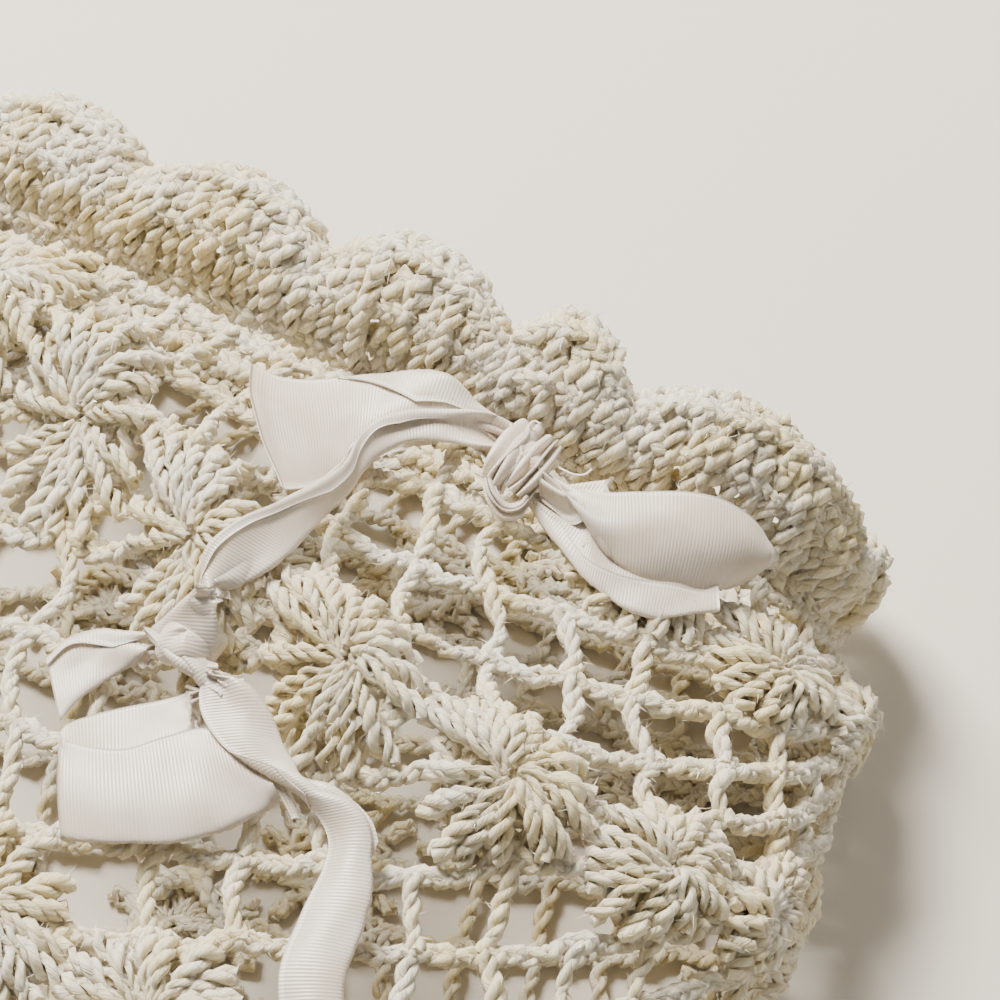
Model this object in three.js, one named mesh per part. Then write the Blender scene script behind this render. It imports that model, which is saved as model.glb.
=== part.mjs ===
// A crocheted baby bonnet lying on its side, drawn in at the neck, with its tied ribbon.
// Millimetres, +Z up. The table is z = 0, +Y leads away from the front of the picture and the
// mouth of the bonnet opens to the back. The origin is on the table under the middle of the body.
import * as THREE from "three";

// Driving dimensions
const WALL = 3.0; // thickness of the crocheted wall
const CLEAR = 0.3; // gap between one piece and the next
const SLOTS = 20; // window columns round the bonnet, two mesh cells each
const ROWS = 15; // crochet rows from the neck to the crown ring
const OPEN_ROWS = 11; // rows that have windows, the eyelet row first
const POST = 0.22; // share of a slot taken by the upright bars
const STRAND = 0.36; // share of a row taken by the chain of stitches
const SEAM = -0.17 / SLOTS; // where slot 0 starts, from the right end, as a share of the way round
const SHELL_EVERY = 5; // slots or rows from one shell of stitches to the next
const UPPER_SLOTS = 12; // slots that lie on the upper side
const UNDER_OPEN_ROWS = [3, 5, 7, 9]; // rows of windows on the side that lies on the table
const ORIGIN = { x: -30, y: -28 }; // the rest point, in the drawing frame of the tables below

// Cross sections from the neck to the crown ring. right and left are the two ends of the section on
// the table, height is its top, lean is how far the top is swept towards the crown, edge is the
// height of the rounded sides, base lifts the underside where the crown turns up, and full is how
// full the arch of the upper side is, 2 for an ellipse.
const ENDS = ["rightX", "rightY", "leftX", "leftY"];
const SECTION_COLUMNS = ["t", ...ENDS, "height", "lean", "edge", "base", "full"];
const SECTIONS = [
  [0.0, 42, -7, -78, 62, 37, 10, 9, 0, 3.0],
  [0.15, 45, -16, -98, 38, 42, 22, 10, 0, 2.8],
  [0.35, 42, -28, -107, 2, 46, 32, 11, 0, 2.5],
  [0.55, 34, -46, -106, -37, 46, 32, 11, 0, 2.4],
  [0.75, 22, -68, -90, -71, 41, 22, 11, 0, 2.3],
  [0.9, 1, -91, -62, -94, 31, 10, 11, 1, 2.2],
  [1.0, -22, -107, -38, -108, 21, 2, 14, 7, 2.0],
].map((row) => Object.fromEntries(row.map((value, i) => [SECTION_COLUMNS[i], value])));

// The fold that runs over the upper side: its crest in plan, its height and its half width
const FOLD = [
  { x: -78, y: 30, height: 7, width: 10 },
  { x: -45, y: 8, height: 10, width: 9 },
  { x: -26, y: -24, height: 10, width: 9 },
  { x: -8, y: -41, height: 8, width: 9 },
  { x: 6, y: -52, height: 5, width: 9 },
  { x: 21, y: -60, height: 3, width: 9 },
];
const FOLD_FROM = 16; // the fold only lifts cloth that is higher than this
const FOLD_FULL = 30; // and lifts it in full from here up

// The ruffle: where its lobes meet, as shares of the way round, and then its section along the
// meridian (out) and across it (up), at the middle of a lobe
const LOBES_MEET = [0.045, 0.149, 0.2, 0.285, 0.37, 0.455, 0.55, 0.65, 0.75, 0.85, 0.95];
const LOBE_STEPS = 7;
const LOBE_FULL = 0.7; // how full a lobe is, 1 for a sine wave and less for a squarer one
const VALLEY = 0.5; // size of the section between two lobes
const INWARD = 0.03; // how far inward of the neck the ruffle takes its direction from, in v
const RISING = { from: -0.15, full: 0.4 }; // how far up the cloth faces where the ruffle stands free
const RUFFLE_SECTION = [
  { out: 0, up: -1.5 },
  { out: 1.5, up: 4 },
  { out: 4.5, up: 9 },
  { out: 9, up: 11 },
  { out: 13, up: 8.5 },
  { out: 15.5, up: 3.5 },
];
const NECK_SEAM = 0.95; // from the neck edge to the first row of the ruffle
const PRESSED_REACH = 15; // how far the ruffle reaches where it lies flat on the table

// The solids that stand for the ribbon, which is 15 mm wide, and its two knots
const RIBBON_THICK = 1.0;
const RIBBON_STEP = 5; // length between two cross sections of a run
const LEAST_OVER = 0.65; // least height of a ribbon's middle layer over the cloth
const KNOTS = {
  bow_knot: { x: 1.8, y: -1.4, radiusX: 3.0, radiusY: 3.4, radiusZ: 3.0 },
  tie_knot: { x: -37.6, y: -31.5, radiusX: 4.2, radiusY: 4.6, radiusZ: 3.4 },
};

// Ribbon runs in the drawing frame, in order along each one. over is the height of the middle of
// the ribbon over the cloth under it, width is how much of its width lies flat there, and roll
// turns it about its own length, in degrees.
const RUNS = {
  bow_loop_right: [
    { x: 5.3, y: -1.8, over: 3.0, width: 4.5, roll: 0 },
    { x: 11, y: -4.6, over: 3.6, width: 9, roll: 0 },
    { x: 18, y: -6.6, over: 3.8, width: 12, roll: 0 },
    { x: 25, y: -7.6, over: 3.2, width: 12, roll: 0 },
    { x: 31.5, y: -8.0, over: 2.0, width: 8, roll: 0 },
  ],
  bow_tail_right: [
    { x: 5.2, y: -6.4, over: 1.2, width: 4, roll: -20 },
    { x: 8.6, y: -12.0, over: 0.7, width: 4.5, roll: -20 },
    { x: 13.5, y: -17.0, over: 0.7, width: 5, roll: -15 },
    { x: 19.5, y: -19.4, over: 0.7, width: 5, roll: -10 },
    { x: 26.0, y: -19.6, over: 0.7, width: 4, roll: 0 },
  ],
  bow_end_left: [
    { x: -3.0, y: 3.6, over: 1.2, width: 4, roll: 0 },
    { x: -8.4, y: 9.0, over: 1.4, width: 8, roll: 0 },
    { x: -15.6, y: 9.6, over: 1.6, width: 11, roll: 0 },
    { x: -22.5, y: 7.0, over: 1.6, width: 13, roll: 0 },
    { x: -28.5, y: 4.2, over: 1.4, width: 15, roll: 0 },
  ],
  tie_strand: [
    { x: -2.4, y: -2.4, over: 3.4, width: 4, roll: 0 },
    { x: -8.4, y: -0.4, over: 4.6, width: 6, roll: 0 },
    { x: -14.0, y: -3.2, over: 4.0, width: 7, roll: 0 },
    { x: -19.5, y: -10.4, over: 2.2, width: 8, roll: 0 },
    { x: -27.0, y: -18.6, over: 1.4, width: 8, roll: 0 },
    { x: -33.4, y: -23.6, over: 1.4, width: 7, roll: 0 },
    { x: -35.6, y: -25.6, over: 2.2, width: 5, roll: 0 },
  ],
  tie_loop_upper: [
    { x: -42.8, y: -32.0, over: 2.4, width: 4, roll: 0 },
    { x: -48.0, y: -31.4, over: 1.6, width: 5, roll: 0 },
    { x: -55.0, y: -32.4, over: 1.4, width: 7, roll: 0 },
    { x: -60.0, y: -36.0, over: 1.4, width: 8, roll: 0 },
  ],
  tie_loop_lower: [
    { x: -37.0, y: -39.4, over: 1.2, width: 6, roll: 0 },
    { x: -39.0, y: -46.0, over: 1.2, width: 13, roll: 0 },
    { x: -46.0, y: -50.0, over: 1.2, width: 15, roll: 0 },
    { x: -53.0, y: -48.6, over: 1.2, width: 14, roll: 0 },
    { x: -59.0, y: -43.4, over: 1.2, width: 11, roll: 0 },
  ],
  tie_tail: [
    { x: -33.4, y: -36.6, over: 2.6, width: 5, roll: 0 },
    { x: -30.2, y: -41.0, over: 3.2, width: 8, roll: 0 },
    { x: -27.6, y: -47.6, over: 2.8, width: 7, roll: 0 },
    { x: -22.8, y: -54.6, over: 1.6, width: 8, roll: 0 },
    { x: -18.4, y: -60.6, over: 1.2, width: 9, roll: 0 },
    { x: -17.2, y: -67.0, over: 1.2, width: 10, roll: 0 },
    { x: -19.4, y: -75.6, over: 1.2, width: 10, roll: 0 },
    { x: -23.0, y: -84.0, over: 1.2, width: 10, roll: 0 },
  ],
};

const CREAM = { color: 0xe2dac7, roughness: 0.92, metalness: 0 };
const WHITE = { color: 0xe9e4dc, roughness: 0.42, metalness: 0 };

// A smooth curve through a table's column
function along(table, key, column, at) {
  const last = table.length - 1;
  let i = 0;
  while (i < last - 1 && at > table[i + 1][key]) i += 1;
  const slope = (k) => {
    const a = table[Math.max(k - 1, 0)];
    const b = table[Math.min(k + 1, last)];
    return (b[column] - a[column]) / (b[key] - a[key]);
  };
  const [p, q] = [table[i], table[i + 1]];
  const span = q[key] - p[key];
  const s = THREE.MathUtils.clamp((at - p[key]) / span, 0, 1);
  const hermite = [
    (1 + 2 * s) * (1 - s) * (1 - s),
    s * (1 - s) * (1 - s) * span,
    s * s * (3 - 2 * s),
    s * s * (s - 1) * span,
  ];
  const ends = [p[column], slope(i), q[column], slope(i + 1)];
  return ends.reduce((sum, value, k) => sum + value * hermite[k], 0);
}

// How much the fold lifts the cloth at a place in plan
function foldLift(x, y) {
  let lift = 0;
  for (let i = 0; i + 1 < FOLD.length; i += 1) {
    const [a, b] = [FOLD[i], FOLD[i + 1]];
    const [dx, dy] = [b.x - a.x, b.y - a.y];
    const s = THREE.MathUtils.clamp(((x - a.x) * dx + (y - a.y) * dy) / (dx * dx + dy * dy), 0, 1);
    const away = Math.hypot(x - a.x - s * dx, y - a.y - s * dy);
    const height = a.height + s * (b.height - a.height);
    const width = a.width + s * (b.width - a.width);
    lift = Math.max(lift, height * Math.exp(-((away / width) ** 2)));
  }
  return lift;
}

// The closed outline of one section, right end first, over the top and back under
const ARCH_STEPS = 60;
const EDGE_STEPS = 6;
const LARGEST_ROUND = 0.8; // radius of a section's ends, as a share of its half width at most
function sectionLine(t) {
  const get = (column) => along(SECTIONS, "t", column, t);
  const right = new THREE.Vector3(get("rightX"), get("rightY"), 0);
  const left = new THREE.Vector3(get("leftX"), get("leftY"), 0);
  const middle = right.clone().add(left).multiplyScalar(0.5);
  const half = right.distanceTo(left) / 2;
  const across = right.clone().sub(left).normalize();
  const toCrown = new THREE.Vector3(across.y, -across.x, 0);
  const [height, lean, edge, base, full] = ["height", "lean", "edge", "base", "full"].map(get);
  const points = [];
  const put = (side, z) => {
    const swept = lean * Math.max(0, (z - edge) / (height - edge));
    const p = middle.clone().addScaledVector(across, side).addScaledVector(toCrown, swept);
    const risen = THREE.MathUtils.smoothstep(z, FOLD_FROM, FOLD_FULL);
    points.push(p.setZ(z + risen * foldLift(p.x, p.y)));
  };
  for (let i = 0; i <= ARCH_STEPS; i += 1) {
    const a = (Math.PI * i) / ARCH_STEPS;
    const side = Math.sign(Math.cos(a)) * Math.abs(Math.cos(a)) ** (2 / full);
    put(half * side, edge + (height - edge) * Math.sin(a) ** (2 / full));
  }
  const radius = Math.min(edge - base, half * LARGEST_ROUND);
  for (let i = 1; i <= EDGE_STEPS; i += 1) {
    const a = (Math.PI / 2) * (i / EDGE_STEPS);
    put(-half + radius * (1 - Math.cos(a)), base + (edge - base) * (1 - Math.sin(a)));
  }
  for (let i = 0; i <= EDGE_STEPS; i += 1) {
    const a = (Math.PI / 2) * (1 - i / EDGE_STEPS);
    put(half - radius * (1 - Math.cos(a)), base + (edge - base) * (1 - Math.sin(a)));
  }
  return points;
}

// Places at even steps of length round a closed line
function evenly(line, u) {
  const reach = [0];
  for (let i = 1; i <= line.length; i += 1) {
    reach.push(reach[i - 1] + line[i - 1].distanceTo(line[i % line.length]));
  }
  const want = ((u + SEAM + 1) % 1) * reach[line.length];
  let i = 0;
  while (reach[i + 1] < want) i += 1;
  const s = (want - reach[i]) / (reach[i + 1] - reach[i] || 1);
  return line[i].clone().lerp(line[(i + 1) % line.length], s);
}

// Rows stay the same height along the cloth, so v is spread by the mean distance between sections
const STATIONS = 48;
const stationLines = Array.from({ length: STATIONS + 1 }, (_, i) => sectionLine(i / STATIONS));
const rowReach = [0];
for (let i = 1; i <= STATIONS; i += 1) {
  let sum = 0;
  for (let k = 0; k < SLOTS; k += 1) {
    const u = k / SLOTS;
    sum += evenly(stationLines[i], u).distanceTo(evenly(stationLines[i - 1], u));
  }
  rowReach.push(rowReach[i - 1] + sum / SLOTS);
}

// A point of the outer face of the cloth: u goes round from the right end, v from neck to crown
function cloth(u, v) {
  const want = THREE.MathUtils.clamp(v, 0, 1) * rowReach[STATIONS];
  let i = 0;
  while (i < STATIONS - 1 && rowReach[i + 1] < want) i += 1;
  const s = (want - rowReach[i]) / (rowReach[i + 1] - rowReach[i]);
  return evenly(stationLines[i], u).lerp(evenly(stationLines[i + 1], u), s);
}

// The outward normal of the cloth
const NORMAL_STEP = 0.012;
function clothNormal(u, v) {
  const du = cloth(u + NORMAL_STEP, v).sub(cloth(u - NORMAL_STEP, v));
  const dv = cloth(u, Math.min(v + NORMAL_STEP, 1)).sub(cloth(u, Math.max(v - NORMAL_STEP, 0)));
  return du.cross(dv).normalize();
}

// Collects points and faces, and makes one closed geometry of them
class Solid {
  constructor() {
    this.points = [];
    this.faces = [];
  }

  point(p) {
    this.points.push(p.x - ORIGIN.x, p.y - ORIGIN.y, p.z);
    return this.points.length / 3 - 1;
  }

  quad(a, b, c, d) {
    this.faces.push(a, b, c, a, c, d);
  }

  triangle(a, b, c) {
    this.faces.push(a, b, c);
  }

  mesh(name, look) {
    const geometry = new THREE.BufferGeometry();
    geometry.setAttribute("position", new THREE.Float32BufferAttribute(this.points, 3));
    geometry.setIndex(this.faces);
    geometry.computeVertexNormals();
    const mesh = new THREE.Mesh(geometry, new THREE.MeshStandardMaterial(look));
    mesh.name = name;
    return mesh;
  }
}

// The chart: a shell of solid stitches fills one slot and two rows, and the next one on lies a
// slot to the right and a row nearer the crown
function isShell(slot, row) {
  const turn = (slot + row) % SHELL_EVERY;
  return row > 0 && (turn === 2 || turn === 3);
}

function isWindow(slot, row) {
  if (row >= OPEN_ROWS) return false;
  const upper = slot < UPPER_SLOTS;
  if (row === 0) return upper;
  if (isShell(slot, row)) return false;
  return upper || UNDER_OPEN_ROWS.includes(row);
}

// The lines round the bonnet where the wall has its corners
const us = [];
for (let s = 0; s < SLOTS; s += 1) us.push(s / SLOTS, (s + POST) / SLOTS);

// A point of the neck edge, depth under the outer face, on the straight lines between the corners
function neckEdge(u, depth) {
  let i = us.length - 1;
  while (us[i] > u) i -= 1;
  const [from, to] = [us[i], us[i + 1] ?? 1];
  const [a, b] = [from, to].map((at) => cloth(at, 0).addScaledVector(clothNormal(at, 0), -depth));
  return a.lerp(b, (u - from) / (to - from));
}

// The body of the bonnet: a pierced wall, open at the neck and closed at the crown ring
function makeCrown() {
  const solid = new Solid();
  const vs = [];
  for (let r = 0; r < ROWS; r += 1) {
    vs.push(r / ROWS);
    if (r < OPEN_ROWS) vs.push((r + STRAND) / ROWS);
  }
  vs.push(1);
  const outer = [];
  const inner = [];
  for (const v of vs) {
    const ring = us.map((u) => cloth(u, v));
    const under = us.map((u, i) => ring[i].clone().addScaledVector(clothNormal(u, v), -WALL));
    outer.push(ring.map((p) => solid.point(p)));
    inner.push(under.map((p) => solid.point(p)));
  }
  const across = us.length;
  const open = (i, j) => {
    if (j < 0 || j >= 2 * OPEN_ROWS) return false;
    return i % 2 === 1 && j % 2 === 1 && isWindow((i - 1) / 2, (j - 1) / 2);
  };
  for (let j = 0; j + 1 < vs.length; j += 1) {
    for (let i = 0; i < across; i += 1) {
      const n = (i + 1) % across;
      const o = [outer[j][i], outer[j][n], outer[j + 1][n], outer[j + 1][i]];
      const k = [inner[j][i], inner[j][n], inner[j + 1][n], inner[j + 1][i]];
      if (!open(i, j)) {
        solid.quad(o[0], o[1], o[2], o[3]);
        solid.quad(k[3], k[2], k[1], k[0]);
        continue;
      }
      for (let e = 0; e < 4; e += 1) {
        const f = (e + 1) % 4;
        solid.quad(o[e], o[f], k[f], k[e]);
      }
    }
  }
  const top = vs.length - 1;
  const mean = (ids) => {
    const sum = new THREE.Vector3();
    for (const id of ids) {
      const at = solid.points.slice(3 * id, 3 * id + 3);
      sum.add(new THREE.Vector3(at[0] + ORIGIN.x, at[1] + ORIGIN.y, at[2]));
    }
    return sum.divideScalar(ids.length);
  };
  const capOut = solid.point(mean(outer[top]));
  const capIn = solid.point(mean(inner[top]));
  for (let i = 0; i < across; i += 1) {
    const n = (i + 1) % across;
    solid.quad(outer[0][n], outer[0][i], inner[0][i], inner[0][n]);
    solid.triangle(outer[top][i], outer[top][n], capOut);
    solid.triangle(inner[top][n], inner[top][i], capIn);
  }
  return solid.mesh("crown", CREAM);
}

// How large the ruffle is at u: full at the middle of a lobe and least where two lobes meet
function lobeSwell(u) {
  const ends = [...LOBES_MEET, LOBES_MEET[0] + 1];
  const at = ((u - ends[0] + 1) % 1) + ends[0];
  let i = 0;
  while (i < LOBES_MEET.length - 1 && ends[i + 1] <= at) i += 1;
  const share = (at - ends[i]) / (ends[i + 1] - ends[i]);
  return VALLEY + (1 - VALLEY) * Math.sin(Math.PI * share) ** LOBE_FULL;
}

// One section of the ruffle, as its outer and its inner line from the neck outwards
function ruffleSection(u) {
  const base = neckEdge(u, 0);
  const up = base.clone().sub(neckEdge(u, WALL)).normalize();
  const out = base.clone().sub(cloth(u, INWARD)).normalize();
  const free = THREE.MathUtils.smoothstep(up.z, RISING.from, RISING.full);
  const swell = lobeSwell(u);
  const last = RUFFLE_SECTION.length - 1;
  const line = RUFFLE_SECTION.map((row, i) => ({
    a: NECK_SEAM + THREE.MathUtils.lerp((PRESSED_REACH * i) / last, row.out * swell, free),
    b: i === 0 ? -WALL / 2 : THREE.MathUtils.lerp(-WALL / 2, row.up * swell, free),
  }));
  const outer = [];
  const inner = [];
  line.forEach((here, i) => {
    const before = line[Math.max(i - 1, 0)];
    const after = line[Math.min(i + 1, last)];
    const [da, db] = i === 0 ? [1, 0] : [after.a - before.a, after.b - before.b];
    const scale = WALL / 2 / Math.hypot(da, db);
    const at = (side) => {
      const clear = Math.max(here.a - side * db * scale, NECK_SEAM);
      const p = base.clone().addScaledVector(out, clear);
      return p.addScaledVector(up, here.b + side * da * scale);
    };
    const [top, below] = [at(1), at(-1)];
    top.z = Math.max(top.z, 0);
    outer.push(top);
    inner.push(below);
  });
  return { outer, inner };
}

// The scalloped ruffle round the mouth of the bonnet
function makeRuffle() {
  const solid = new Solid();
  const places = LOBES_MEET.flatMap((from, i) => {
    const to = LOBES_MEET[i + 1] ?? LOBES_MEET[0] + 1;
    return Array.from({ length: LOBE_STEPS }, (_, k) => (from + ((to - from) * k) / LOBE_STEPS) % 1);
  });
  const stations = places.length;
  const rings = places.map((u) => {
    const { outer, inner } = ruffleSection(u);
    return [...outer, ...inner.reverse()].map((p) => solid.point(p));
  });
  rings.forEach((ring, i) => {
    const next = rings[(i + 1) % stations];
    ring.forEach((id, k) => {
      const m = (k + 1) % ring.length;
      solid.quad(id, ring[m], next[m], next[k]);
    });
  });
  return solid.mesh("ruffle", CREAM);
}

// The height of the cloth and ruffle over the table, as the highest point near a place in plan
const ROOF_STEP = 2;
const ROOF_ROUND = 150;
const ROOF_UP = 90;
const UPPER_SHARE = UPPER_SLOTS / SLOTS;
const roofCells = new Map();
const roofKey = (x, y) => `${Math.round(x / ROOF_STEP)},${Math.round(y / ROOF_STEP)}`;
function addToRoof(p) {
  const key = roofKey(p.x, p.y);
  roofCells.set(key, Math.max(roofCells.get(key) ?? 0, p.z));
}
for (let i = 0; i <= ROOF_ROUND; i += 1) {
  const u = (UPPER_SHARE * i) / ROOF_ROUND;
  for (let j = 0; j <= ROOF_UP; j += 1) addToRoof(cloth(u, j / ROOF_UP));
  ruffleSection(u).outer.forEach(addToRoof);
}

function roof(x, y, reach = ROOF_STEP) {
  let z = 0;
  for (let dx = -reach; dx <= reach; dx += ROOF_STEP) {
    for (let dy = -reach; dy <= reach; dy += ROOF_STEP) {
      z = Math.max(z, roofCells.get(roofKey(x + dx, y + dy)) ?? 0);
    }
  }
  return z;
}

// One run of ribbon: a thin strip that lies over the cloth along a smooth line
function makeRun(name, rows) {
  const solid = new Solid();
  const line = new THREE.CatmullRomCurve3(rows.map((row) => new THREE.Vector3(row.x, row.y, 0)));
  const steps = Math.ceil(line.getLength() / RIBBON_STEP);
  const table = rows.map((row, i) => ({ ...row, at: i / (rows.length - 1) }));
  const rings = [];
  for (let i = 0; i <= steps; i += 1) {
    const at = i / steps;
    const [over, width, roll] = ["over", "width", "roll"].map((c) => along(table, "at", c, at));
    const middle = line.getPoint(at);
    const way = line.getTangent(at);
    const side = new THREE.Vector3(-way.y, way.x, 0).normalize();
    const height = roof(middle.x, middle.y) + over;
    const slope = Math.tan(THREE.MathUtils.degToRad(roll));
    const layer = [-0.5, 0, 0.5].map((share) => {
      const p = middle.clone().addScaledVector(side, share * width);
      const least = roof(p.x, p.y) + LEAST_OVER;
      return p.setZ(Math.max(height + share * width * slope, least));
    });
    const lift = (z) => layer.map((p) => solid.point(p.clone().setZ(p.z + z)));
    rings.push([...lift(RIBBON_THICK / 2), ...lift(-RIBBON_THICK / 2).reverse()]);
  }
  for (let i = 0; i < steps; i += 1) {
    rings[i].forEach((id, k) => {
      const m = (k + 1) % 6;
      solid.quad(id, rings[i + 1][k], rings[i + 1][m], rings[i][m]);
    });
  }
  for (const [ring, turned] of [[rings[0], false], [rings[steps], true]]) {
    for (const [a, b, c, d] of [[0, 1, 4, 5], [1, 2, 3, 4]]) {
      if (turned) solid.quad(ring[d], ring[c], ring[b], ring[a]);
      else solid.quad(ring[a], ring[b], ring[c], ring[d]);
    }
  }
  return solid.mesh(name, WHITE);
}

// A knot: the wrapped turns of ribbon as one round body on the cloth
function makeKnot(name, knot) {
  const shape = new THREE.SphereGeometry(1, 12, 8);
  shape.rotateX(Math.PI / 2);
  shape.scale(knot.radiusX, knot.radiusY, knot.radiusZ);
  const mesh = new THREE.Mesh(shape, new THREE.MeshStandardMaterial(WHITE));
  const height = roof(knot.x, knot.y) + CLEAR + knot.radiusZ;
  mesh.position.set(knot.x - ORIGIN.x, knot.y - ORIGIN.y, height);
  mesh.name = name;
  return mesh;
}

const object = new THREE.Group();
object.add(makeCrown());
object.add(makeRuffle());
for (const [name, rows] of Object.entries(RUNS)) object.add(makeRun(name, rows));
for (const [name, knot] of Object.entries(KNOTS)) object.add(makeKnot(name, knot));
export default object;
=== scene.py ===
"""A crocheted baby bonnet lying on its side, drawn in at the neck, with its tied satin ribbon.

The yarn is laid stitch by stitch over the same cloth surface as the solids, and every length
below is in millimetres until a mesh is made. The drawing frame is the one of the part's tables.
"""

import math
from collections import namedtuple
from functools import partial

import bmesh
import bpy
import numpy as np
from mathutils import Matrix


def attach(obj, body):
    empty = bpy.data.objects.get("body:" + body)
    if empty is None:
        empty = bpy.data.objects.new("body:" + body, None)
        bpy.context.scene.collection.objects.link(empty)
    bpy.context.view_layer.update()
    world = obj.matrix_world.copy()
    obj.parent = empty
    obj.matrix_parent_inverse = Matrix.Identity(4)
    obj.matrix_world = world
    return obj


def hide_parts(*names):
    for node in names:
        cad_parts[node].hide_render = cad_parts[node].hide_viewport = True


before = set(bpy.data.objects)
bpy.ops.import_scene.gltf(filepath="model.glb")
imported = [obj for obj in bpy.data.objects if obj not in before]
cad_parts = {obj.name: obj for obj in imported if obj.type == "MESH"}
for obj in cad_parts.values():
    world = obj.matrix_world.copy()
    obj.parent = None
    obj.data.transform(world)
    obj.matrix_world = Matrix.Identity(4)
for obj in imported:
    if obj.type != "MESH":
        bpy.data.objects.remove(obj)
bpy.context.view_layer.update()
rng = np.random.default_rng(7)
MM = 0.001  # metres in a millimetre

# Driving dimensions, the same as the solids'
WALL = 3.0  # thickness of the crocheted cloth
SLOTS = 20  # windows of the solid crown round it: the net has two columns of cells to each
ROWS = 15  # rows of cells from the neck to the crown's end
ORIGIN = np.array([-30.0, -28.0, 0.0])  # the part's origin in the drawing frame
COLUMNS = 2 * SLOTS
SEAM = -0.17 / SLOTS  # where the columns start, as a share of the way round
CHAIN_AT = 0.18  # where a row's chain runs, as a share of the row
POST_AT = 0.11  # where a slot's first post stands, as a share of the slot

# Cross sections from the neck to the crown ring, as in the solids. Columns: share of the way,
# x and y of the right end, x and y of the left end, height, how far the top leans to the crown,
# heights of the widest line and of the base, and fullness
SECTIONS = np.array(
    [
        [0.0, 42, -7, -78, 62, 37, 10, 9, 0, 3.0],
        [0.15, 45, -16, -98, 38, 42, 22, 10, 0, 2.8],
        [0.35, 42, -28, -107, 2, 46, 32, 11, 0, 2.5],
        [0.55, 34, -46, -106, -37, 46, 32, 11, 0, 2.4],
        [0.75, 22, -68, -90, -71, 41, 22, 11, 0, 2.3],
        [0.9, 1, -91, -62, -94, 31, 10, 11, 1, 2.2],
        [1.0, -22, -107, -38, -108, 21, 2, 14, 7, 2.0],
    ]
)

# The fold over the upper side. Columns: crest x, crest y, height and half width
FOLD = np.array(
    [
        [-78, 30, 7, 10],
        [-45, 8, 10, 9],
        [-26, -24, 10, 9],
        [-8, -41, 8, 9],
        [6, -52, 5, 9],
        [21, -60, 3, 9],
    ]
)
FOLD_FROM = 16.0  # height at which the fold starts to lift the cloth
FOLD_BLEND = 14.0  # and how much higher it lifts it fully

# The ruffle: where its lobes meet, then out along the cloth and up across it, at a lobe's middle
LOBES_MEET = np.array([0.045, 0.149, 0.2, 0.285, 0.37, 0.455, 0.55, 0.65, 0.75, 0.85, 0.95])
VALLEY = 0.5  # share of the swell that is left where two lobes meet
RUFFLE_OUT = np.array([0, 1.5, 4.5, 9, 13, 15.5])
RUFFLE_UP = np.array([-1.5, 4, 9, 11, 8.5, 3.5])
PRESSED_REACH = 15.0  # how far the side on the table reaches out

# Points of a section's outline: over the top, round one lower corner, and on the table
TOP_POINTS = 181
CORNER_POINTS = 13
FLAT_POINTS = 60


def smoothstep(x, low, high):
    s = np.clip((x - low) / (high - low), 0, 1)
    return s * s * (3 - 2 * s)


def unit(v):
    return v / np.maximum(np.linalg.norm(v, axis=-1, keepdims=True), 1e-9)


def reach_along(line):
    """The length so far at each point of a line."""
    return np.concatenate([[0], np.cumsum(np.linalg.norm(np.diff(line, axis=0), axis=1))])


def along(table, at):
    """A smooth curve through every column of a table, whose first column is the parameter."""
    t = table[:, 0]
    last = len(t) - 1
    at_node = np.arange(last + 1)
    lower, upper = np.maximum(at_node - 1, 0), np.minimum(at_node + 1, last)
    slope = (table[upper] - table[lower]) / (t[upper] - t[lower])[:, None]
    i = np.clip(np.searchsorted(t, at, side="left") - 1, 0, last - 1)
    span = (t[i + 1] - t[i])[:, None]
    s = np.clip((at - t[i]) / (t[i + 1] - t[i]), 0, 1)[:, None]
    near = (1 + 2 * s) * (1 - s) ** 2 * table[i] + s * (1 - s) ** 2 * span * slope[i]
    far = s * s * (3 - 2 * s) * table[i + 1] + s * s * (s - 1) * span * slope[i + 1]
    return near + far


def fold_lift(x, y):
    """How far the fold lifts the cloth at x, y."""
    lift = np.zeros_like(x)
    for a, b in zip(FOLD[:-1], FOLD[1:]):
        d = b[:2] - a[:2]
        s = np.clip(((x - a[0]) * d[0] + (y - a[1]) * d[1]) / (d @ d), 0, 1)
        away = np.hypot(x - a[0] - s * d[0], y - a[1] - s * d[1])
        height = a[2] + s * (b[2] - a[2])
        width = a[3] + s * (b[3] - a[3])
        lift = np.maximum(lift, height * np.exp(-((away / width) ** 2)))
    return lift


def section_line(row):
    """The closed outline of one section, right end first, over the top and back under."""
    _, right_x, right_y, left_x, left_y, height, lean, edge, base, full = row
    right, left = np.array([right_x, right_y, 0.0]), np.array([left_x, left_y, 0.0])
    middle, half = (right + left) / 2, np.linalg.norm(right - left) / 2
    across = unit(right - left)
    to_crown = np.array([across[1], -across[0], 0.0])
    a = np.linspace(0, math.pi, TOP_POINTS)
    side = half * np.sign(np.cos(a)) * np.abs(np.cos(a)) ** (2 / full)
    z = edge + (height - edge) * np.abs(np.sin(a)) ** (2 / full)
    radius = min(edge - base, half * 0.8)
    b = np.linspace(0, math.pi / 2, CORNER_POINTS)
    down = base + (edge - base) * (1 - np.sin(b))
    inset = radius * (1 - np.cos(b))
    flat = np.linspace(-half + radius, half - radius, FLAT_POINTS + 2)[1:-1]
    side = np.concatenate([side, (-half + inset)[1:], flat, (half - inset)[::-1][:-1]])
    z = np.concatenate([z, down[1:], np.full(FLAT_POINTS, base), down[::-1][:-1]])
    swept = lean * np.maximum(0, (z - edge) / (height - edge))
    p = middle + side[:, None] * across + swept[:, None] * to_crown
    p[:, 2] = z + smoothstep(z, FOLD_FROM, FOLD_FROM + FOLD_BLEND) * fold_lift(p[:, 0], p[:, 1])
    return p


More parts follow.
